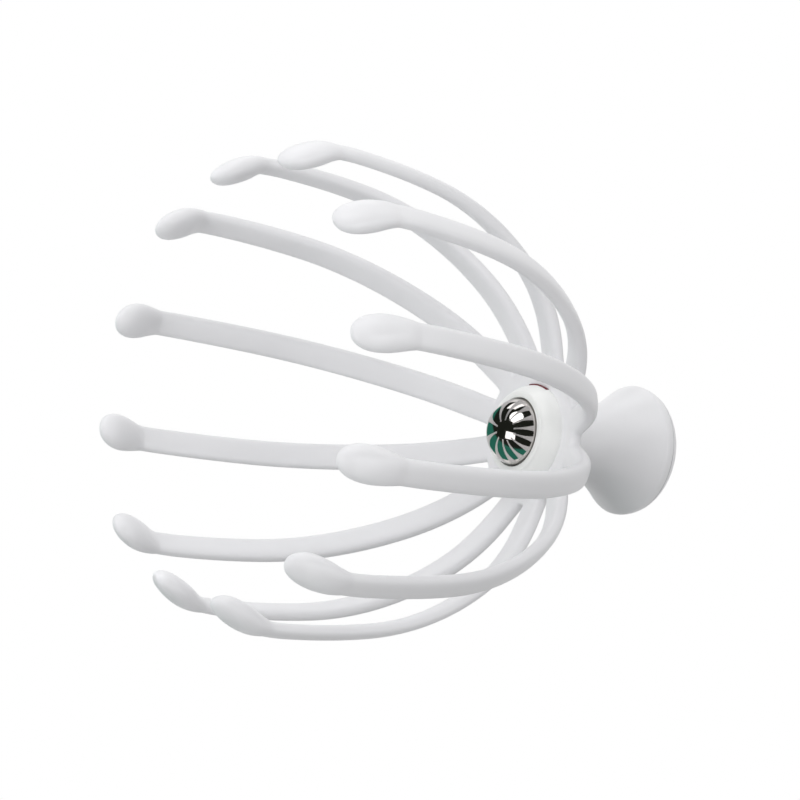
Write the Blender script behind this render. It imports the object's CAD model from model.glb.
import math

import bpy
from mathutils import Matrix, Vector


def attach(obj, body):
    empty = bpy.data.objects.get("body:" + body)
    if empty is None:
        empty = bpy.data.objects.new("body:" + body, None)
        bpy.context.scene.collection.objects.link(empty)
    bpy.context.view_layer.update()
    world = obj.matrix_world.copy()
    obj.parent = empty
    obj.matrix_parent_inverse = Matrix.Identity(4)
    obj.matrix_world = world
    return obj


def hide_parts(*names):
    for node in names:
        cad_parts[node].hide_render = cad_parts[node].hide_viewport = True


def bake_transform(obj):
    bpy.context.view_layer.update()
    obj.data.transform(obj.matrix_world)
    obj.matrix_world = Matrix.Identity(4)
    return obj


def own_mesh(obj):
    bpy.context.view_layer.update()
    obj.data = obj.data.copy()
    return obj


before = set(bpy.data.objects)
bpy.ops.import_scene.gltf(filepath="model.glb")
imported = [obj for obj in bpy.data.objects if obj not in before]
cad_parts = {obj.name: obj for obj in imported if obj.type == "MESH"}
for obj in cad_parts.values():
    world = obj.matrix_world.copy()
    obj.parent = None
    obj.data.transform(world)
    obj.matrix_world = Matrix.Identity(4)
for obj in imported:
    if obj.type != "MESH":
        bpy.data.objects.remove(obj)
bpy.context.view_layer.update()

mm = 0.001  # sizes of the pieces are in millimetres, and the scene is in metres
# points this close together become one
merges = dict(doubles=0.002, seams=0.001, slivers=0.004, thinFaces=0.002)


# selecting, placing and finishing a piece

def deselectAll():
    bpy.ops.object.select_all(action="DESELECT")


def selectOnly(*pieces):
    deselectAll()
    for piece in pieces:
        piece.select_set(True)
    bpy.context.view_layer.objects.active = pieces[-1]


def applyPlace(piece):
    selectOnly(piece)
    bpy.ops.object.transform_apply(location=True, rotation=True, scale=True)


def applyModifier(piece, kind, **settings):
    selectOnly(piece)
    modifier = piece.modifiers.new(kind.title(), kind)
    for key, value in settings.items():
        setattr(modifier, key, value)
    bpy.ops.object.modifier_apply(modifier=modifier.name)


def removePiece(piece):
    bpy.data.objects.remove(piece)


def copyPiece(piece, name):
    copy = piece.copy()
    copy.data = piece.data.copy()
    copy.name = copy.data.name = name
    bpy.context.scene.collection.objects.link(copy)
    return copy


def joinPieces(name, *pieces):
    selectOnly(*reversed(pieces))  # the first one stays
    bpy.ops.object.join()
    pieces[0].name = name
    return pieces[0]


def smoothByAngle(piece, degrees):
    selectOnly(piece)
    bpy.ops.object.shade_smooth_by_angle(angle=math.radians(degrees))


def startEdit(piece, mode="VERT"):
    selectOnly(piece)
    bpy.context.tool_settings.mesh_select_mode = [mode == m for m in ("VERT", "EDGE", "FACE")]
    bpy.ops.object.mode_set(mode="EDIT")


def editAll(piece):
    startEdit(piece)
    bpy.ops.mesh.select_all(action="SELECT")


def stopEdit():
    bpy.ops.object.mode_set(mode="OBJECT")


def extrudeBy(x, y, z):
    bpy.ops.mesh.extrude_region_move(TRANSFORM_OT_translate={"value": (x * mm, y * mm, z * mm)})


def faceOutwards():
    bpy.ops.mesh.select_all(action="SELECT")
    bpy.ops.mesh.normals_make_consistent(inside=False)
    stopEdit()


def weldOutwards():
    bpy.ops.mesh.select_all(action="SELECT")
    bpy.ops.mesh.remove_doubles(threshold=merges["doubles"] * mm)
    faceOutwards()


def clearSelection(*groups):
    for group in groups:
        group.foreach_set("select", [False] * len(group))


def selectPoints(piece, wanted):
    for v in piece.data.vertices:
        v.select = wanted(v.co)
    clearSelection(piece.data.edges, piece.data.polygons)


def selectFaces(piece, wanted):
    for p in piece.data.polygons:
        p.select = wanted(p.center)
    clearSelection(piece.data.edges, piece.data.vertices)


def turnProfile(name, profile, segments=96):
    # a profile of (radius, height) drawn by extruding one point, then spun round the axis
    radius, height = profile[0]
    deselectAll()
    bpy.ops.mesh.primitive_plane_add(size=mm, location=(radius * mm, 0, height * mm))
    piece = bpy.context.object
    piece.name = name
    applyPlace(piece)
    editAll(piece)
    bpy.ops.mesh.merge(type="CENTER")  # the plane becomes the first point
    for (r0, z0), (r1, z1) in zip(profile, profile[1:]):
        extrudeBy(r1 - r0, 0, z1 - z0)
    bpy.ops.mesh.select_all(action="SELECT")
    bpy.ops.mesh.spin(steps=segments, angle=math.tau, center=(0, 0, 0), axis=(0, 0, 1))
    weldOutwards()
    return piece


def turnRing(name, inner, outer, low, high):
    return turnProfile(name, [(inner, low), (outer, low), (outer, high), (inner, high),
                              (inner, low)], 64)


def cleanMesh(piece):
    # slivers that a bevel or a cut leaves are merged away
    editAll(piece)
    bpy.ops.mesh.remove_doubles(threshold=merges["slivers"] * mm)
    bpy.ops.mesh.dissolve_degenerate(threshold=merges["thinFaces"] * mm)
    stopEdit()


def softenEdges(piece, width, segments=3, degrees=35):
    applyModifier(piece, "BEVEL", width=width * mm, segments=segments,
                  limit_method="ANGLE", angle_limit=math.radians(degrees))
    cleanMesh(piece)


def cutWith(piece, tool):
    applyModifier(piece, "BOOLEAN", operation="DIFFERENCE", solver="EXACT", object=tool)
    removePiece(tool)
    cleanMesh(piece)


def mix(a, b, share):
    return a + (b - a) * share


def smoothStep(share):
    share = min(1, max(0, share))
    return share * share * (3 - 2 * share)


def ramp(value, start, full):
    return smoothStep((value - start) / (full - start))  # 0 at start and 1 at full


def bezier(a, b, c, d, t):
    return [(1 - t) ** 3 * p + 3 * (1 - t) ** 2 * t * q + 3 * (1 - t) * t * t * r + t ** 3 * s
            for p, q, r, s in zip(a, b, c, d)]


# claws: one springy claw, modelled straight, bent along its curve and then copied

claw = dict(
    rootRadius=20.2, rootHeight=120,
    length=139.5, inside=6,  # inside is the part of the root that is sunk in the hub
    rootWidth=8.4, neckWidth=7.6, rootThickness=5, neckThickness=4,
    # the pad swells in a clear step, wide and thick at these shares of its length
    padLength=21, padWidth=11, padThickness=7.2, padStart=0.08, widePeak=0.55, thickPeak=0.48,
    endFullness=2.5, endRoundness=0.48, endLeast=0.06,  # the way the pad closes
    stemSquareness=3.4, padSquareness=2.15,  # 2 is an oval section, more is squarer
    softening=(-0.1, 0.4),  # shares of the pad's length between which the section gets softer
    # shares of the length, and the degrees at which the claw points there
    slopes=[(0, -26), (0.08, -28), (0.25, -51), (0.43, -66), (0.6, -80.5), (0.72, -85),
            (0.8, -87), (0.86, -93.1), (0.9, -111.5), (0.95, -116), (1, -109)],
    # springy claws never stand quite even: degrees opened, degrees round the axis
    leans=[2.1, 1.8, -0.2, -2.3, -0.6, -0.1, -0.7, -0.5, -1.3, 1, 1.6, 1.4],
    turns=[-0.3, -0.9, -0.3, -1.2, 0, 0, 0, 0.2, 0.3, -0.2, 0.6, 0.6],
    # its mesh: points round each ring, rings along the stem and the pad, and where the pad starts
    sides=16, stemRings=17, padRings=13, stepRings=(0, 0.05, 0.08, 0.11),
    nose=0.02,  # how far the last point stands out from the last ring
    cage=1.026,  # the rings are this much larger than the rounded surface inside them
    bendSteps=300,
)


def clawSlope(share):
    marks = claw["slopes"]
    if share <= 0:
        return math.radians(marks[0][1])
    for (a, low), (b, high) in zip(marks, marks[1:]):
        if share <= b:
            return math.radians(mix(low, high, (share - a) / (b - a)))
    return math.radians(marks[-1][1])


def clawSize(along, root, neck, pad, peak):
    stem, start = claw["length"] - claw["padLength"], claw["padStart"]
    share = (along - stem) / claw["padLength"]
    if share <= start:
        return mix(root, neck, min(1, max(0, along) / stem))
    if share < peak:
        rise = (share - start) / (peak - start)
        return mix(neck, pad, (smoothStep(rise) + 1 - (1 - rise) ** 2) / 2)
    fall = (share - peak) / (1 - peak)
    closing = max(0, 1 - fall ** claw["endFullness"]) ** claw["endRoundness"]
    return pad * max(claw["endLeast"], closing)


def clawSection(along):
    # thickness and width at a distance along the claw
    return (clawSize(along, claw["rootThickness"], claw["neckThickness"],
                     claw["padThickness"], claw["thickPeak"]),
            clawSize(along, claw["rootWidth"], claw["neckWidth"],
                     claw["padWidth"], claw["widePeak"]))


def clawStations():
    # distances along the claw at which its rings stand, closest at the end of the pad
    pad, stem, rings = claw["padLength"], claw["length"] - claw["padLength"], claw["padRings"]
    stations = [-claw["inside"], -claw["inside"] / 2]
    stations += [stem * i / claw["stemRings"] for i in range(claw["stemRings"])]
    stations += [stem + pad * share for share in claw["stepRings"]]
    stations += [claw["length"] - pad * (1 - math.sin(math.pi / 2 * i / rings))
                 for i in range(2, rings + 1)]
    return stations


def squareSections(piece):
    # the rings start as ovals: their corners move out along the stem, and stay in on the pad
    stem, step = claw["length"] - claw["padLength"], 360 / claw["sides"]
    near, nearDegrees = 0.005 * mm, 1

    def onCorner(point):
        if abs(point.x - place) >= near:
            return False
        angle = math.degrees(math.atan2(abs(point.z) / width, abs(point.y) / thickness))
        return min(abs(angle - degrees), abs(90 - angle - degrees)) < nearDegrees

    for along in clawStations():
        thickness, width = clawSection(along)
        place = (along + claw["inside"]) * mm
        power = mix(claw["stemSquareness"], claw["padSquareness"],
                    ramp((along - stem) / claw["padLength"], *claw["softening"]))
        for degrees in (2 * step, step):
            across, up = math.cos(math.radians(degrees)), math.sin(math.radians(degrees))
            grow = (across ** power + up ** power) ** (-1 / power)
            selectPoints(piece, onCorner)
            startEdit(piece)
            bpy.ops.transform.resize(value=(1, grow, grow), center_override=(place, 0, 0))
            stopEdit()


def bendClaw(piece):
    # its centre line is drawn flat, and the bent claw is stood up afterwards
    start = clawSlope(0)
    x, y = -claw["inside"] * math.cos(start), -claw["inside"] * math.sin(start)
    path = [(x, y)]
    steps, total = claw["bendSteps"], claw["length"] + claw["inside"]
    for i in range(steps):
        along = total * (i + 0.5) / steps - claw["inside"]
        slope = clawSlope(along / claw["length"])
        x += math.cos(slope) * total / steps
        y += math.sin(slope) * total / steps
        path.append((x, y))
    line = bpy.data.curves.new("clawLine", "CURVE")
    line.dimensions = "2D"
    spline = line.splines.new("POLY")
    spline.points.add(len(path) - 1)
    for point, (x, y) in zip(spline.points, path):
        point.co = (x * mm, y * mm, 0, 1)
    guide = bpy.data.objects.new("clawLine", line)
    bpy.context.scene.collection.objects.link(guide)
    applyModifier(piece, "CURVE", object=guide, deform_axis="POS_X")
    removePiece(guide)
    piece.rotation_euler = (math.pi / 2, 0, 0)
    applyPlace(piece)


def modelClaw():
    stations, cage = clawStations(), claw["cage"]
    deselectAll()
    bpy.ops.mesh.primitive_circle_add(vertices=claw["sides"], radius=mm,
                                      rotation=(0, math.pi / 2, 0))
    piece = bpy.context.object
    piece.name = "clawMaster"
    applyPlace(piece)
    editAll(piece)
    thickness, width = clawSection(stations[0])
    bpy.ops.transform.resize(value=(1, cage * thickness / 2, cage * width / 2),
                             center_override=(0, 0, 0))
    for before, along in zip(stations, stations[1:]):
        extrudeBy(along - before, 0, 0)
        newThickness, newWidth = clawSection(along)
        bpy.ops.transform.resize(
            value=(1, newThickness / thickness, newWidth / width),
            center_override=((along + claw["inside"]) * mm, 0, 0))
        thickness, width = newThickness, newWidth
    extrudeBy(claw["nose"], 0, 0)
    bpy.ops.mesh.merge(type="CENTER")
    bpy.ops.mesh.select_all(action="DESELECT")
    bpy.ops.mesh.select_non_manifold()
    bpy.ops.mesh.edge_face_add()
    faceOutwards()
    squareSections(piece)
    applyModifier(piece, "SUBSURF", levels=2, render_levels=2)
    bendClaw(piece)
    return piece


def clawAzimuth(i):
    # each claw stands about the middle of its sector, and is counted from 0 here
    return math.radians(360 / len(claw["turns"]) * (i + 0.5) + claw["turns"][i])


def placeClaws():
    master, copies = modelClaw(), []
    for i, lean in enumerate(claw["leans"]):
        copy = copyPiece(master, f"clawCopy{i + 1:02d}")
        azimuth = clawAzimuth(i)
        copy.location = (claw["rootRadius"] * mm * math.cos(azimuth),
                         claw["rootRadius"] * mm * math.sin(azimuth), claw["rootHeight"] * mm)
        copy.rotation_euler = (0, -math.radians(lean), azimuth)
        applyPlace(copy)
        copies.append(copy)
    removePiece(master)
    return copies


clawCopies = placeClaws()
print("claws modelled")


# hub: a sloping dish that the claws grow out of, moulded with them in one shot

hub = dict(
    rimRadius=22.3, rimStep=0.6, rimRounding=1.3, dishSlope=26, dishHalf=2.78, fillet=3,
    shoulderRadius=9.3, shoulderHeight=129,
    podRadius=15.6, podTop=118.2, plateSeat=118.5, plateBore=11.3,
    spigotRadius=12.5, spigotBottom=117.4, spigotSunk=0.1,
    weightBore=4.5, motorSeat=124.7, sleeveRadius=6.1,
    neckRadius=7.5, neckFoot=128.5, neckTop=149, neckRounding=0.2,
    underInset=0.5, underSunk=0.1, webInset=1, webTopInset=1.5, blankOver=2,  # of the blank
    boreLow=108, boreHigh=140,  # the bore's tool goes past the hub at both ends
    voxel=0.5, smoothing=0.5, smoothRounds=16,
    # radii between which the smoothing comes in and fades, and the claws' own surface takes over
    filletsIn=(11, 13), filletsOut=(33, 27), stemsIn=(26, 32),
    # a claw is cut off at this radius, between stubs that reach so far out and in
    cutRadius=26.5, stubOut=3, stubIn=1, flexStart=1, flexRadius=54,
)


def dishTop(r):
    slope = math.tan(math.radians(hub["dishSlope"]))
    return claw["rootHeight"] + (claw["rootRadius"] - r) * slope + hub["dishHalf"]


def modelHubBlank():
    # the solid hub, before the claws are joined to it and its inside is cut
    shoulder, top, fillet = hub["shoulderRadius"], hub["shoulderHeight"], hub["fillet"]
    low = dishTop(shoulder + fillet)
    slope = math.tan(math.radians(hub["dishSlope"]))
    # the webs between the claws are a little less thick than the claws
    rim, rounding, root = hub["rimRadius"], hub["rimRounding"], claw["rootRadius"]
    half = hub["dishHalf"] - hub["rimStep"]
    middle = dishTop(rim) - hub["dishHalf"]
    profile = [(0, hub["podTop"] - hub["underInset"]),
               (hub["podRadius"] - hub["underInset"], hub["podTop"] - hub["underSunk"]),
               (root - hub["webInset"], dishTop(root) - 2 * hub["dishHalf"] + hub["rimStep"])]
    for degrees in range(-80, 81, 20):
        angle = math.radians(degrees)
        profile.append((rim + rounding * (math.cos(angle) - 1), middle + half * math.sin(angle)))
    webTop = root - hub["webTopInset"]
    profile.append((webTop, dishTop(webTop)))
    steps = 8
    for k in range(steps + 1):
        profile.append(tuple(bezier(
            (shoulder + fillet, low), (shoulder + fillet / 2, low + fillet / 2 * slope),
            (shoulder, top - fillet / 2), (shoulder, top), k / steps)))
    profile += [(shoulder, top + hub["blankOver"]), (0, top + hub["blankOver"])]
    return turnProfile("hubBlank", profile)


def weigh(piece, name, weight):
    # vertex group whose weight depends on the distance from the axis
    group = piece.vertex_groups.new(name=name)
    for v in piece.data.vertices:
        share = weight(math.hypot(v.co.x, v.co.y) / mm)
        if share > 0:
            group.add([v.index], share, "REPLACE")


def mouldTogether():
    # hub and claws are remeshed as one skin, smoothed where they meet, and fitted to the claws
    target = joinPieces("clawSurface", *[copyPiece(c, c.name + "t") for c in clawCopies])
    skin = joinPieces("hubSkin", modelHubBlank(), *clawCopies)
    applyModifier(skin, "REMESH", mode="VOXEL", voxel_size=hub["voxel"] * mm)
    print("skin remeshed", len(skin.data.vertices))
    weigh(skin, "fillets", lambda r: ramp(r, *hub["filletsIn"]) * ramp(r, *hub["filletsOut"]))
    applyModifier(skin, "SMOOTH", factor=hub["smoothing"], iterations=hub["smoothRounds"],
                  vertex_group="fillets")
    weigh(skin, "stems", lambda r: ramp(r, *hub["stemsIn"]))
    applyModifier(skin, "SHRINKWRAP", target=target, wrap_method="NEAREST_SURFACEPOINT",
                  wrap_mode="ON_SURFACE", vertex_group="stems")
    skin.vertex_groups.clear()
    removePiece(target)
    print("skin fitted")
    return skin


def inSector(place, azimuth, start):
    r = math.hypot(place.x, place.y)
    turn = (math.atan2(place.y, place.x) - azimuth + math.pi) % math.tau - math.pi
    return r > start * mm and abs(turn) < math.radians(180 / len(claw["turns"]))


def cutAcross(piece, azimuth, keepOuter):
    direction = (math.cos(azimuth), math.sin(azimuth), 0)
    editAll(piece)
    bpy.ops.mesh.bisect(
        plane_co=[hub["cutRadius"] * mm * c for c in direction], plane_no=direction,
        use_fill=True, clear_inner=keepOuter, clear_outer=not keepOuter)
    stopEdit()


def partClaws(skin):
    pieces = []
    for i in range(len(claw["turns"])):
        azimuth, outside = clawAzimuth(i), hub["cutRadius"] + hub["stubOut"]
        selectFaces(skin, lambda place: inSector(place, azimuth, outside))
        startEdit(skin, "FACE")
        bpy.ops.mesh.separate(type="SELECTED")
        stopEdit()
        outer = [o for o in bpy.context.selected_objects if o != skin][0]
        outer.name = outer.data.name = f"springClaw{i + 1:02d}"
        pieces.append(outer)
    # the stubs that are left on the hub go to both sides of each cut
    for i, outer in enumerate(pieces):
        azimuth, inside = clawAzimuth(i), hub["cutRadius"] - hub["stubIn"]
        stub = copyPiece(skin, "stub")
        selectFaces(stub, lambda place: not inSector(place, azimuth, inside))
        startEdit(stub, "FACE")
        bpy.ops.mesh.delete(type="FACE")
        stopEdit()
        joinPieces(outer.name, outer, stub)
        editAll(outer)
        bpy.ops.mesh.remove_doubles(threshold=merges["seams"] * mm)
        stopEdit()
    for i, outer in enumerate(pieces):
        cutAcross(outer, clawAzimuth(i), keepOuter=True)
        cutAcross(skin, clawAzimuth(i), keepOuter=False)
        smoothByAngle(outer, 50)
    print("claws parted")
    return pieces


def finishHub(skin):
    # its inside: seat of the pod, plate recess, chamber of the weight, bore of the neck
    low, high = hub["boreLow"], hub["boreHigh"]
    cutWith(skin, turnProfile("hubBore", [
        (0, low), (hub["podRadius"], low), (hub["podRadius"], hub["podTop"]),
        (hub["plateBore"], hub["podTop"]), (hub["plateBore"], hub["plateSeat"]),
        (hub["weightBore"], hub["plateSeat"]), (hub["weightBore"], hub["motorSeat"]),
        (hub["sleeveRadius"], hub["motorSeat"]), (hub["sleeveRadius"], high), (0, high)], 64))
    editAll(skin)
    bpy.ops.mesh.bisect(plane_co=(0, 0, hub["shoulderHeight"] * mm), plane_no=(0, 0, 1),
                        use_fill=False, clear_outer=True)
    bpy.ops.mesh.select_all(action="DESELECT")
    bpy.ops.mesh.select_non_manifold()
    bpy.ops.mesh.bridge_edge_loops()
    stopEdit()
    neck = turnRing("neckTube", hub["sleeveRadius"], hub["neckRadius"],
                    hub["neckFoot"], hub["neckTop"])
    softenEdges(neck, hub["neckRounding"], 2)
    spigot = turnRing("hubSpigot", hub["plateBore"], hub["spigotRadius"],
                      hub["spigotBottom"], hub["podTop"] + hub["spigotSunk"])
    piece = joinPieces("clawHub", skin, neck, spigot)
    smoothByAngle(piece, 50)
    return piece


hubSkin = mouldTogether()
clawPieces = partClaws(hubSkin)
hubPiece = finishHub(hubSkin)
print("hub finished")


# pod: glossy ring that guides the dome, with the window of the indicator in its side

pod = dict(
    radius=hub["podRadius"], halfHeight=12.2, centre=119.0, top=hub["podTop"], bottom=111.8,
    lip=0.5, opening=10.82, flangeSeat=114.4, bore=12.6,
    mouthEdge=0.35, mouthMiddle=0.1,  # the opening's rounded edge
    windowTurn=-84, windowSweep=34, windowBottom=117.0, windowOver=1,
    lensProud=0.2, lensDepth=1.2, lensUnder=0.02, lensOver=0.2, lensPlay=0.3, lensRounding=0.08,
)


def podOutline(z):
    return pod["radius"] * math.sqrt(1 - ((z - pod["centre"]) / pod["halfHeight"]) ** 2)


def turnSector(name, inner, outer, low, high, sweep):
    # a block of a ring, over the sweep of the indicator's window
    start = math.radians(pod["windowTurn"] - sweep / 2)
    deselectAll()
    bpy.ops.mesh.primitive_plane_add(size=mm, location=(0, 0, 0), rotation=(math.pi / 2, 0, 0))
    piece = bpy.context.object
    piece.name = name
    piece.scale = ((outer - inner), (high - low), 1)
    piece.location = ((outer + inner) / 2 * mm, 0, (high + low) / 2 * mm)
    applyPlace(piece)
    piece.rotation_euler = (0, 0, start)
    applyPlace(piece)
    editAll(piece)
    # this operator turns clockwise
    bpy.ops.mesh.spin(steps=16, angle=-math.radians(sweep), center=(0, 0, 0), axis=(0, 0, 1))
    weldOutwards()
    return piece


def modelPod():
    lip, bottom, steps = pod["lip"], pod["bottom"], 14
    profile = [(podOutline(z), z) for z in
               [mix(pod["top"], bottom + lip, k / steps) for k in range(steps + 1)]]
    edge = podOutline(bottom + lip) - lip
    for degrees in range(15, 91, 15):
        angle = math.radians(degrees)
        profile.append((edge + lip * math.cos(angle), bottom + lip - lip * math.sin(angle)))
    opening, mouth, middle = pod["opening"], pod["mouthEdge"], pod["mouthMiddle"]
    profile += [(opening + mouth, bottom), (opening + middle, bottom + middle),
                (opening, bottom + mouth), (opening, pod["flangeSeat"]),
                (pod["bore"], pod["flangeSeat"]), (pod["bore"], pod["top"]), profile[0]]
    piece = turnProfile("podShell", profile, 128)
    over = pod["windowOver"]  # the window's tool goes past the wall on three sides
    cutWith(piece, turnSector("podWindow", pod["bore"] - over, pod["radius"] + over,
                              pod["windowBottom"], pod["top"] + over, pod["windowSweep"]))
    smoothByAngle(piece, 40)
    return piece


def modelLens():
    # thin red bar in the window
    piece = turnSector("indicatorLens", pod["radius"] - pod["lensDepth"],
                       pod["radius"] + pod["lensProud"], pod["windowBottom"] + pod["lensUnder"],
                       pod["top"] - pod["lensOver"], pod["windowSweep"] - pod["lensPlay"])
    softenEdges(piece, pod["lensRounding"], 2)
    smoothByAngle(piece, 40)
    return piece


podPiece = modelPod()
lensPiece = modelLens()
print("pod finished")


# contact dome: polished cap with its skirt, flange and switch post

dome = dict(radius=10.6, wall=1, centre=113.9, flangeSeat=114.42, flangeRadius=11.9,
            flangeThickness=1, floor=107.6, postRadius=1.6, postTop=112.1)


def modelDome():
    outer, centre, steps, innerSteps = dome["radius"], dome["centre"], 40, 12
    inner = outer - dome["wall"]
    profile = [(outer * math.sin(math.pi / 2 * k / steps),
                centre - outer * math.cos(math.pi / 2 * k / steps)) for k in range(steps + 1)]
    top = dome["flangeSeat"] + dome["flangeThickness"]
    profile += [(outer, dome["flangeSeat"]), (dome["flangeRadius"], dome["flangeSeat"]),
                (dome["flangeRadius"], top), (inner, top), (inner, centre)]
    low = math.acos((centre - dome["floor"]) / inner)
    for k in range(1, innerSteps + 1):
        angle = mix(math.pi / 2, low, k / innerSteps)
        profile.append((inner * math.sin(angle), centre - inner * math.cos(angle)))
    profile += [(dome["postRadius"], dome["floor"]), (dome["postRadius"], dome["postTop"]),
                (0, dome["postTop"])]
    piece = turnProfile("contactCap", profile, 160)
    smoothByAngle(piece, 30)
    return piece


domePiece = modelDome()
print("dome finished")


# knob: flared shell with the charging inlet, domed cap, power button

knob = dict(
    radius=20.7, middle=156.5, crown=11.9,
    shoulderRadius=hub["shoulderRadius"], shoulderHeight=hub["shoulderHeight"],
    flareStart=15, flareEnd=1.2, wall=1.9, seam=159.6, sealThickness=0.4,
    nutSeat=144, neckBore=7.6, spigotOuter=18.025, spigotInner=16.825, boardTop=159.0,
    boardPlay=0.1, shellRounding=0.18, capRounding=0.16, sides=144,
    buttonRadius=7, buttonBore=7.06, flangeRadius=7.8, flangeBore=8.1, buttonUnder=164.8,
    skirt=1.2, stemRadius=1.6, stemEnd=163.9, buttonRounding=0.2,
    hollow=0.35, hollowRim=1.2,  # shallow, for the fingertip, and its margin
    inletWidth=9.3, inletHeight=3.5, inletLevel=155.8, inletFrom=-24, inletTo=-12,
)


def knobFlare(t):
    return bezier((knob["shoulderRadius"], knob["shoulderHeight"]),
                  (knob["shoulderRadius"], knob["shoulderHeight"] + knob["flareStart"]),
                  (knob["radius"], knob["middle"] - knob["flareEnd"]),
                  (knob["radius"], knob["middle"]), t)


def crownRadius(z):
    return knob["radius"] * math.sqrt(1 - ((z - knob["middle"]) / knob["crown"]) ** 2)


def crownHeight(r):
    return knob["middle"] + knob["crown"] * math.sqrt(1 - (r / knob["radius"]) ** 2)


def stadiumTool(name, width, height, start, end):
    # block with round ends that stands along X at the inlet's level
    deselectAll()
    bpy.ops.mesh.primitive_circle_add(vertices=48, radius=height / 2 * mm,
                                      rotation=(0, math.pi / 2, 0), fill_type="NOTHING")
    piece = bpy.context.object
    piece.name = name
    piece.location = (start * mm, 0, knob["inletLevel"] * mm)
    applyPlace(piece)
    middle = 0.0001 * mm  # points on the middle line stay
    for side in (1, -1):
        selectPoints(piece, lambda point: point.y * side > middle)
        startEdit(piece)
        bpy.ops.transform.translate(value=(0, side * (width - height) / 2 * mm, 0))
        stopEdit()
    editAll(piece)
    bpy.ops.mesh.edge_face_add()
    extrudeBy(end - start, 0, 0)
    faceOutwards()
    return piece


def modelKnobShell():
    steps, crownSteps = 44, 6
    outside = [tuple(knobFlare(k / steps)) for k in range(steps + 1)]
    outside += [(crownRadius(z), z) for z in
                [mix(knob["middle"], knob["seam"], k / crownSteps)
                 for k in range(1, crownSteps + 1)]]
    inside = [(r - knob["wall"], z) for r, z in reversed(outside) if z > knob["nutSeat"]]
    foot = (knob["neckBore"], knob["shoulderHeight"])
    profile = [foot] + outside + inside
    profile += [(inside[-1][0], knob["nutSeat"]), (knob["neckBore"], knob["nutSeat"]), foot]
    piece = turnProfile("knobShell", profile, knob["sides"])
    softenEdges(piece, knob["shellRounding"], 2, 40)
    cutWith(piece, stadiumTool("inletCut", knob["inletWidth"], knob["inletHeight"],
                               knob["inletFrom"], knob["inletTo"]))
    smoothByAngle(piece, 40)
    return piece


def modelKnobCap():
    low = knob["seam"] + knob["sealThickness"]
    edge, steps, innerSteps = crownRadius(low), 28, 16
    turnStart = math.acos(knob["buttonBore"] / edge)
    profile = []
    for k in range(steps + 1):
        r = edge * math.cos(turnStart * k / steps)
        profile.append((r, crownHeight(r)))
    top, foot = knob["buttonUnder"] + knob["skirt"], knob["boardTop"] + knob["boardPlay"]
    bore, inner = knob["flangeBore"], knob["spigotInner"]
    profile += [(knob["buttonBore"], top), (bore, top)]
    for k in range(innerSteps + 1):
        r = mix(bore, inner, math.sin(math.pi / 2 * k / innerSteps))
        profile.append((r, crownHeight(r) - knob["wall"]))
    profile += [(inner, foot), (knob["spigotOuter"], foot), (knob["spigotOuter"], low), profile[0]]
    piece = turnProfile("knobCap", profile, knob["sides"])
    softenEdges(piece, knob["capRounding"], 2, 40)
    smoothByAngle(piece, 40)
    return piece


def modelPowerButton():
    rim, under, top = knob["buttonRadius"], knob["buttonUnder"], knob["buttonUnder"] + knob["skirt"]
    stem, end, steps = knob["stemRadius"], knob["stemEnd"], 13
    profile = [(0, end), (stem, end), (stem, under), (knob["flangeRadius"], under),
               (knob["flangeRadius"], top), (rim, top)]
    for k in range(steps + 1):
        r = rim * (1 - k / steps)
        dip = knob["hollow"] * smoothStep(1 - r / (rim - knob["hollowRim"]))
        profile.append((r, crownHeight(r) - dip))
    piece = turnProfile("powerButton", profile)
    softenEdges(piece, knob["buttonRounding"], 3, 40)
    smoothByAngle(piece, 40)
    return piece


shellPiece = modelKnobShell()
capPiece = modelKnobCap()
buttonPiece = modelPowerButton()
print("knob finished")


# soft parts inside: the dome's return spring and the foam under the power button

soft = dict(springRadius=6.24, springWire=0.6, springTurns=5, springLow=107.63, springHigh=116.97,
            foamOuter=5.6, foamInner=4.6, foamLow=159.0, foamHigh=164.78, foamRounding=0.25,
            domeTravel=1.2, buttonTravel=0.5)


def modelSpring():
    half = soft["springWire"] / 2
    low, high = soft["springLow"] + half, soft["springHigh"] - half
    deselectAll()
    bpy.ops.mesh.primitive_circle_add(vertices=12, radius=half * mm, rotation=(math.pi / 2, 0, 0),
                                      location=(soft["springRadius"] * mm, 0, low * mm))
    piece = bpy.context.object
    piece.name = "returnSpring"
    applyPlace(piece)
    applyModifier(piece, "SCREW", screw_offset=(high - low) / soft["springTurns"] * mm,
                  iterations=soft["springTurns"], steps=40, render_steps=40)
    editAll(piece)
    bpy.ops.mesh.remove_doubles(threshold=merges["doubles"] * mm)
    bpy.ops.mesh.fill_holes(sides=0)
    faceOutwards()
    smoothByAngle(piece, 50)
    return piece


def modelFoam():
    piece = turnRing("buttonFoam", soft["foamInner"], soft["foamOuter"],
                     soft["foamLow"], soft["foamHigh"])
    softenEdges(piece, soft["foamRounding"], 2)
    smoothByAngle(piece, 50)
    return piece


springPiece = modelSpring()
foamPiece = modelFoam()
print("soft parts finished")


# materials, each named for what the real one is and how its surface was made

# the colour drifts a little over so many mm, and the roughness varies by the spread
plastic = dict(drift=14, driftDetail=2, detail=3, spread=0.04, bump=0.25, coatRoughness=0.05)
metal = dict(detail=4, spread=0.05, bump=0.2)


def hexToLinear(code):
    channels = [int(code[i:i + 2], 16) / 255 for i in (0, 2, 4)]
    return [c / 12.92 if c <= 0.04045 else ((c + 0.055) / 1.055) ** 2.4
            for c in channels] + [1]


def addNode(tree, kind, values=None, links=None, **settings):
    node = tree.nodes.new(kind)
    for key, value in settings.items():
        setattr(node, key, value)
    for key, value in (values or {}).items():
        node.inputs[key].default_value = value
    for key, source in (links or {}).items():
        tree.links.new(source, node.inputs[key])
    return node


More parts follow.
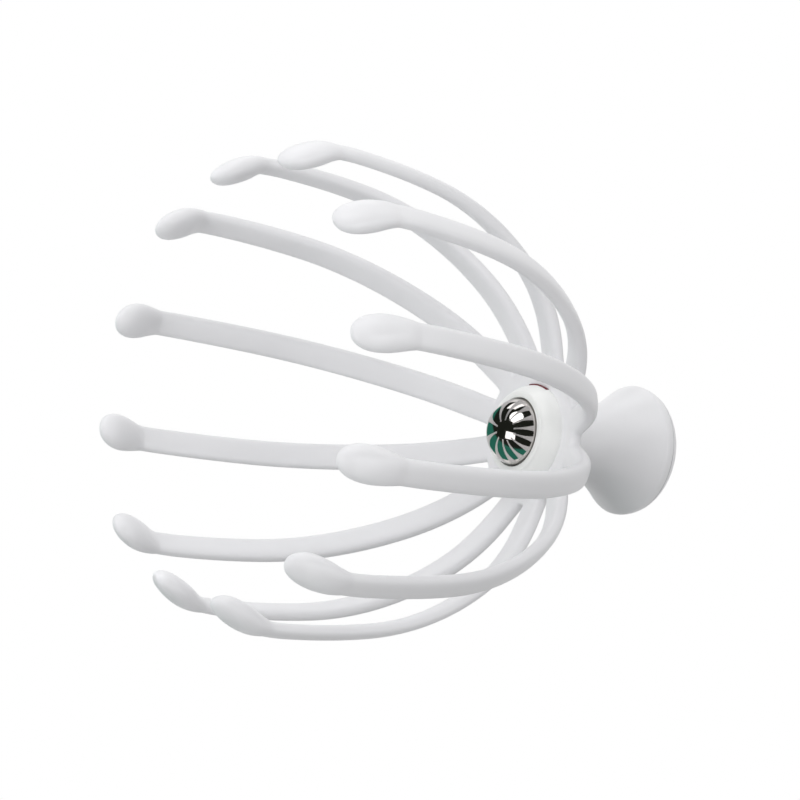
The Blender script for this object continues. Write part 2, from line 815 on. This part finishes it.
def newMaterial(name):
    material = bpy.data.materials.new(name)
    material.use_nodes = True
    material.node_tree.nodes.clear()
    return material, material.node_tree


def closeSurface(tree, colours, mixed, grain, roughness, depth, kind, values):
    # mixed blends the two colours, and grain varies the roughness and raises the surface a little
    tint = addNode(tree, "ShaderNodeMix", {6: hexToLinear(colours[0]), 7: hexToLinear(colours[1])},
                   {0: mixed.outputs["Fac"]}, data_type="RGBA")
    rough = addNode(tree, "ShaderNodeMapRange",
                    {"To Min": roughness - kind["spread"], "To Max": roughness + kind["spread"]},
                    {"Value": grain.outputs["Fac"]})
    bump = addNode(tree, "ShaderNodeBump", {"Strength": kind["bump"], "Distance": depth * mm},
                   {"Height": grain.outputs["Fac"]})
    shader = addNode(tree, "ShaderNodeBsdfPrincipled", values,
                     {"Base Color": tint.outputs[2], "Roughness": rough.outputs[0],
                      "Normal": bump.outputs[0]})
    addNode(tree, "ShaderNodeOutputMaterial", None, {"Surface": shader.outputs[0]})


def mouldedPlastic(name, colour, shade, roughness, grain, depth, ior=1.53, coat=0.0):
    # grain is the width and depth the height of the mould's own texture, in mm
    material, tree = newMaterial(name)
    place = addNode(tree, "ShaderNodeTexCoord").outputs["Object"]
    drift = addNode(tree, "ShaderNodeTexNoise",
                    {"Scale": 1 / (plastic["drift"] * mm), "Detail": plastic["driftDetail"]},
                    {"Vector": place})
    fine = addNode(tree, "ShaderNodeTexNoise",
                   {"Scale": 1 / (grain * mm), "Detail": plastic["detail"]}, {"Vector": place})
    closeSurface(tree, (colour, shade), drift, fine, roughness, depth, plastic,
                 {"IOR": ior, "Coat Weight": coat, "Coat Roughness": plastic["coatRoughness"]})
    return material


def plainMetal(name, colour, shade, roughness, grain, depth, stretch=(1, 1, 1)):
    # stretch makes the grain finer along one axis, so that it runs round it, as turning leaves it
    material, tree = newMaterial(name)
    place = addNode(tree, "ShaderNodeTexCoord").outputs["Object"]
    scaled = addNode(tree, "ShaderNodeMapping", {"Scale": stretch}, {"Vector": place})
    fine = addNode(tree, "ShaderNodeTexNoise",
                   {"Scale": 1 / (grain * mm), "Detail": metal["detail"]},
                   {"Vector": scaled.outputs[0]})
    closeSurface(tree, (colour, shade), fine, fine, roughness, depth, metal, {"Metallic": 1.0})
    return material


finishes = {
    # satin white ABS, moulded: an even, soft sheen
    "clawAbs": mouldedPlastic("mouldedSatinAbs", "ECECEE", "E8E8EA", 0.42, 0.7, 0.02),
    "knobAbs": mouldedPlastic("mouldedKnobAbs", "EAEAEC", "E6E6E8", 0.36, 0.7, 0.02),
    # the same plastic from a finer mould: whiter, with softer and brighter highlights
    "podAbs": mouldedPlastic("fineWhiteAbs", "F6F7F5", "F3F4F2", 0.3, 1.2, 0.004, 1.5),
    # uncoloured ABS and black nylon, moulded for the inside: dull, with a faint grain
    "innerAbs": mouldedPlastic("naturalAbs", "D9D8D2", "D2D1CB", 0.5, 0.9, 0.03),
    "switchNylon": mouldedPlastic("blackNylon", "1B1B1D", "232325", 0.45, 0.6, 0.03),
    # moulded silicone and cellular rubber: matt, and the rubber is rough with cells
    "siliconeWhite": mouldedPlastic("paleSilicone", "D6D7D8", "D0D1D3", 0.6, 0.5, 0.03, 1.41),
    "foamRubber": mouldedPlastic("cellRubber", "55565A", "44464A", 0.85, 0.8, 0.2, 1.5),
    # extruded PVC: smooth; polycarbonate and epoxy from polished moulds: glossy
    "leadPvc": mouldedPlastic("redPvcCover", "B3262B", "A52025", 0.4, 0.5, 0.01, 1.52),
    "lensRed": mouldedPlastic("redPolycarbonate", "6E1A26", "5E1420", 0.18, 1.5, 0.003, 1.58, 0.3),
    "ledBody": mouldedPlastic("ledEpoxy", "E8D9A0", "E2D194", 0.2, 1.0, 0.003, 1.55),
    # lacquered glass-fibre board: green, with the sheen of its solder mask
    "boardMask": mouldedPlastic("solderMaskBoard", "1F5A3A", "17482D", 0.3, 1.8, 0.03, 1.5),
    # chrome plate over ABS: mirror-like, darker than silver, a little warm
    "chrome": plainMetal("chromePlate", "C9C5C2", "C7C3C0", 0.06, 6, 0.001),
    # drawn wire, zinc-plated screws, a nickel-plated can: bright, with a fine grain
    "springSteel": plainMetal("springWire", "B9BBBD", "A5A7AA", 0.25, 0.4, 0.01, (1, 1, 4)),
    "screwSteel": plainMetal("zincPlatedSteel", "C3C5C8", "B4B6BA", 0.28, 0.5, 0.01),
    "canSteel": plainMetal("nickelPlatedCan", "C9C7C1", "BEBCB6", 0.2, 0.6, 0.006, (1, 1, 5)),
    # pressed and sintered tungsten: dark and dull
    "weightMetal": plainMetal("sinteredTungsten", "8A8782", "7B7873", 0.45, 0.3, 0.02),
    # drawn and stamped nickel-plated sheet: pale, with a soft sheen
    "cellMetal": plainMetal("nickelCellCase", "CFCFCB", "C4C4C0", 0.22, 0.8, 0.006),
    "socketMetal": plainMetal("stampedSocketShell", "C8C9CB", "BBBCBE", 0.24, 0.5, 0.008),
}

byNode = {
    "contact_plunger": "switchNylon", "contact_switch": "switchNylon",
    "switch_plate": "innerAbs", "plate_screws": "screwSteel",
    "indicator_led": "ledBody", "motor_can": "canSteel",
    "motor_end_bell": "switchNylon", "motor_sleeve": "foamRubber", "motor_shaft": "screwSteel",
    "eccentric_weight": "weightMetal", "motor_leads": "leadPvc", "neck_nut": "innerAbs",
    "battery_pad": "foamRubber", "battery_cell": "cellMetal", "circuit_board": "boardMask",
    "board_screws": "screwSteel", "charge_socket": "socketMetal", "power_switch": "switchNylon",
    "power_plunger": "switchNylon", "knob_seal": "siliconeWhite",
}


def paint(piece, finish):
    if not piece.data.materials:
        piece.data.materials.append(None)
    for slot in piece.material_slots:
        slot.link = "DATA"
        slot.material = finishes[finish]


for node, finish in byNode.items():
    paint(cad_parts[node], finish)
for piece, finish in ((hubPiece, "clawAbs"), (podPiece, "podAbs"), (domePiece, "chrome"),
                      (lensPiece, "lensRed"), (shellPiece, "knobAbs"), (capPiece, "knobAbs"),
                      (buttonPiece, "knobAbs"), (springPiece, "springSteel"),
                      (foamPiece, "foamRubber")):
    paint(piece, finish)
for piece in clawPieces:
    paint(piece, "clawAbs")
print("materials made")


# every piece replaces its node and rides on its body, and the claws bend

for i, piece in enumerate(clawPieces):
    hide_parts(f"claw_{i + 1:02d}")
    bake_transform(piece)
for piece, node, body, slot in (
        (hubPiece, "hub", "handle", "hub_plastic"),
        (podPiece, "pod_shell", "handle", "pod_plastic"),
        (lensPiece, "indicator_lens", "handle", "lens_red"),
        (domePiece, "contact_dome", "dome", "chrome"),
        (shellPiece, "knob_shell", "handle", "knob_plastic"),
        (capPiece, "knob_cap", "handle", "knob_plastic"),
        (buttonPiece, "power_button", "power", "knob_plastic"),
        (springPiece, "dome_spring", "handle", "spring_steel"),
        (foamPiece, "button_pad", "handle", "rubber_grey")):
    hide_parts(node)
    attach(piece, body)
# each is pressed shorter by the travel of what it pushes, and its fixed end stays
for piece, joint, fixed, free, travel in (
        (springPiece, "dome_press", soft["springHigh"], soft["springLow"], soft["domeTravel"]),
        (foamPiece, "power_press", soft["foamLow"], soft["foamHigh"], soft["buttonTravel"])):
    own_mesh(piece)


# stage, lamps and camera, in metres

stage = dict(
    domeCentre=(0, 0, dome["centre"] * mm), ambient=0.25,
    floorSize=8, floorColour="F1F1F1",
    floorNear=0.3, floorFar=0.75, nearRadius=0.2, farRadius=1.8,  # its glow near and far off
    tentRadius=1.1, tentTop=0.3, tentDark="252823", tentGreen="327A69",
    tentSide=(-0.6, 0.64, 0.48), greenFrom=0.12, greenFull=0.2,  # the green side and its edge
)


def lightPathShare(tree, *outputs):
    path = addNode(tree, "ShaderNodeLightPath")
    share = path.outputs[outputs[0]]
    for name in outputs[1:]:
        share = addNode(tree, "ShaderNodeMath", None, {0: share, 1: path.outputs[name]},
                        operation="MAXIMUM").outputs[0]
    return share


def makeFloor():
    deselectAll()
    bpy.ops.mesh.primitive_plane_add(size=stage["floorSize"], location=(0, 0, 0))
    floor = bpy.context.object
    floor.name = "floor"
    floor.visible_glossy = False  # the chrome shows the world's white instead
    material, tree = newMaterial("paleFloor")
    diffuse = addNode(tree, "ShaderNodeBsdfDiffuse", {"Color": hexToLinear(stage["floorColour"])})
    # looked at, it is pale and fades to white far off, and it still takes shadows
    place = addNode(tree, "ShaderNodeTexCoord").outputs["Object"]
    away = addNode(tree, "ShaderNodeVectorMath", None, {0: place}, operation="LENGTH")
    level = addNode(tree, "ShaderNodeMapRange",
                    {"From Min": stage["nearRadius"], "From Max": stage["farRadius"],
                     "To Min": stage["floorNear"], "To Max": stage["floorFar"]},
                    {"Value": away.outputs["Value"]}, interpolation_type="SMOOTHSTEP")
    seen = addNode(tree, "ShaderNodeMath", None,
                   {0: level.outputs[0], 1: lightPathShare(tree, "Is Camera Ray")},
                   operation="MULTIPLY")
    glow = addNode(tree, "ShaderNodeEmission", {"Color": (1, 1, 1, 1)},
                   {"Strength": seen.outputs[0]})
    pale = addNode(tree, "ShaderNodeAddShader", None, {0: diffuse.outputs[0], 1: glow.outputs[0]})
    # from below it is clear, and it never keeps a lamp's light from the object
    clear = addNode(tree, "ShaderNodeBsdfTransparent")
    back = addNode(tree, "ShaderNodeNewGeometry").outputs["Backfacing"]
    through = addNode(tree, "ShaderNodeMath", None,
                      {0: back, 1: lightPathShare(tree, "Is Shadow Ray")}, operation="MAXIMUM")
    blend = addNode(tree, "ShaderNodeMixShader", None,
                    {0: through.outputs[0], 1: pale.outputs[0], 2: clear.outputs[0]})
    addNode(tree, "ShaderNodeOutputMaterial", None, {"Surface": blend.outputs[0]})
    material.cycles.emission_sampling = "NONE"  # the glow is only seen, and lights nothing
    floor.data.materials.append(material)


def makeTent():
    # dark studio round the lower half, which only the gloss sees, with a green wall on one side
    deselectAll()
    bpy.ops.mesh.primitive_uv_sphere_add(segments=48, ring_count=24, radius=stage["tentRadius"],
                                         location=stage["domeCentre"])
    tent = bpy.context.object
    tent.name = "studioTent"
    editAll(tent)
    bpy.ops.mesh.bisect(plane_co=(0, 0, stage["tentTop"]), plane_no=(0, 0, 1), clear_outer=True)
    stopEdit()
    for kind in ("camera", "diffuse", "transmission", "shadow", "volume_scatter"):
        setattr(tent, "visible_" + kind, False)
    material, tree = newMaterial("studioWall")
    place = addNode(tree, "ShaderNodeTexCoord").outputs["Object"]
    way = addNode(tree, "ShaderNodeVectorMath", None, {0: place}, operation="NORMALIZE")
    side = addNode(tree, "ShaderNodeVectorMath", {1: stage["tentSide"]}, {0: way.outputs[0]},
                   operation="DOT_PRODUCT")
    share = addNode(tree, "ShaderNodeMapRange",
                    {"From Min": stage["greenFrom"], "From Max": stage["greenFull"]},
                    {"Value": side.outputs["Value"]})
    tint = addNode(tree, "ShaderNodeMix", {6: hexToLinear(stage["tentDark"]),
                                           7: hexToLinear(stage["tentGreen"])},
                   {0: share.outputs[0]}, data_type="RGBA")
    glow = addNode(tree, "ShaderNodeEmission", None, {"Color": tint.outputs[2]})
    addNode(tree, "ShaderNodeOutputMaterial", None, {"Surface": glow.outputs[0]})
    material.cycles.emission_sampling = "NONE"  # it is only seen too
    tent.data.materials.append(material)


def makeWorld():
    world = bpy.data.worlds.new("whiteStudio")
    bpy.context.scene.world = world
    world.use_nodes = True
    tree = world.node_tree
    tree.nodes.clear()
    seen = lightPathShare(tree, "Is Camera Ray", "Is Glossy Ray", "Is Transmission Ray")
    level = addNode(tree, "ShaderNodeMapRange", {"To Min": stage["ambient"], "To Max": 1.0},
                    {"Value": seen})
    sky = addNode(tree, "ShaderNodeBackground", {"Color": (1, 1, 1, 1)},
                  {"Strength": level.outputs[0]})
    addNode(tree, "ShaderNodeOutputWorld", None, {"Surface": sky.outputs[0]})


lamps = dict(
    # way from the dome, way of the width, distance, width, height, power in watts, and whether
    # the chrome shows it
    window=((0.30, -0.75, -0.59), (0.9, 0.4, 0), 0.9, 0.68, 0.68, 3.3, True),
    top=((-0.36, -0.92, -0.08), (0.93, -0.37, 0), 0.9, 0.43, 0.46, 1.2, True),
    front=((0.34, 0.28, -0.90), (0.92, 0.12, 0.38), 0.9, 0.54, 0.37, 1.3, True),
    low=((0.2, 0.1, -0.97), (1, 0, 0), 1.0, 0.6, 0.6, 2.9, False),
    right=((0.87, -0.1, 0.38), (0, 1, 0), 1.1, 0.9, 0.9, 3.6, False),
    back=((0.4, -0.86, 0.3), (1, 0, 0), 1.1, 0.7, 0.7, 1.0, False),
    left=((-0.75, -0.6, -0.1), (0, 0, 1), 1.0, 0.6, 0.6, 1.6, False),
    high=((-0.8, -0.3, 0.5), (0, 1, 0), 1.0, 0.6, 0.6, 2.2, False),
)


def makeLamps():
    centre = Vector(stage["domeCentre"])
    for name, (way, across, distance, width, height, power, shown) in lamps.items():
        lamp = bpy.data.lights.new(name + "Lamp", "AREA")
        lamp.shape = "ELLIPSE" if name == "window" else "RECTANGLE"
        lamp.size, lamp.size_y, lamp.energy = width, height, power
        thing = bpy.data.objects.new(name + "Lamp", lamp)
        bpy.context.scene.collection.objects.link(thing)
        back = Vector(way).normalized()  # a lamp shines the other way
        side = (Vector(across) - Vector(across).project(back)).normalized()
        turn = Matrix((side, back.cross(side), back)).transposed().to_4x4()
        thing.matrix_world = Matrix.Translation(centre + back * distance) @ turn
        thing.visible_camera = False
        thing.visible_glossy = shown


# the camera's place and axes, its lens and sensor in millimetres
view = dict(location=(0.72184, 0.03072, -0.43236), right=(0.56799, -0.14070, 0.81092),
            up=(-0.04821, -0.98928, -0.13788), back=(0.82162, 0.03921, -0.56868),
            lens=130.98, sensor=36, clipStart=0.01)


def makeCamera():
    data = bpy.data.cameras.new("camera")
    data.lens = view["lens"]
    data.sensor_width = view["sensor"]
    data.clip_start = view["clipStart"]
    thing = bpy.data.objects.new("camera", data)
    bpy.context.scene.collection.objects.link(thing)
    turn = Matrix((view["right"], view["up"], view["back"])).transposed().to_4x4()
    thing.matrix_world = Matrix.Translation(view["location"]) @ turn
    bpy.context.scene.camera = thing


makeFloor()
makeTent()
makeWorld()
makeLamps()
makeCamera()
bpy.context.scene.view_settings.view_transform = "Standard"
print("stage set")
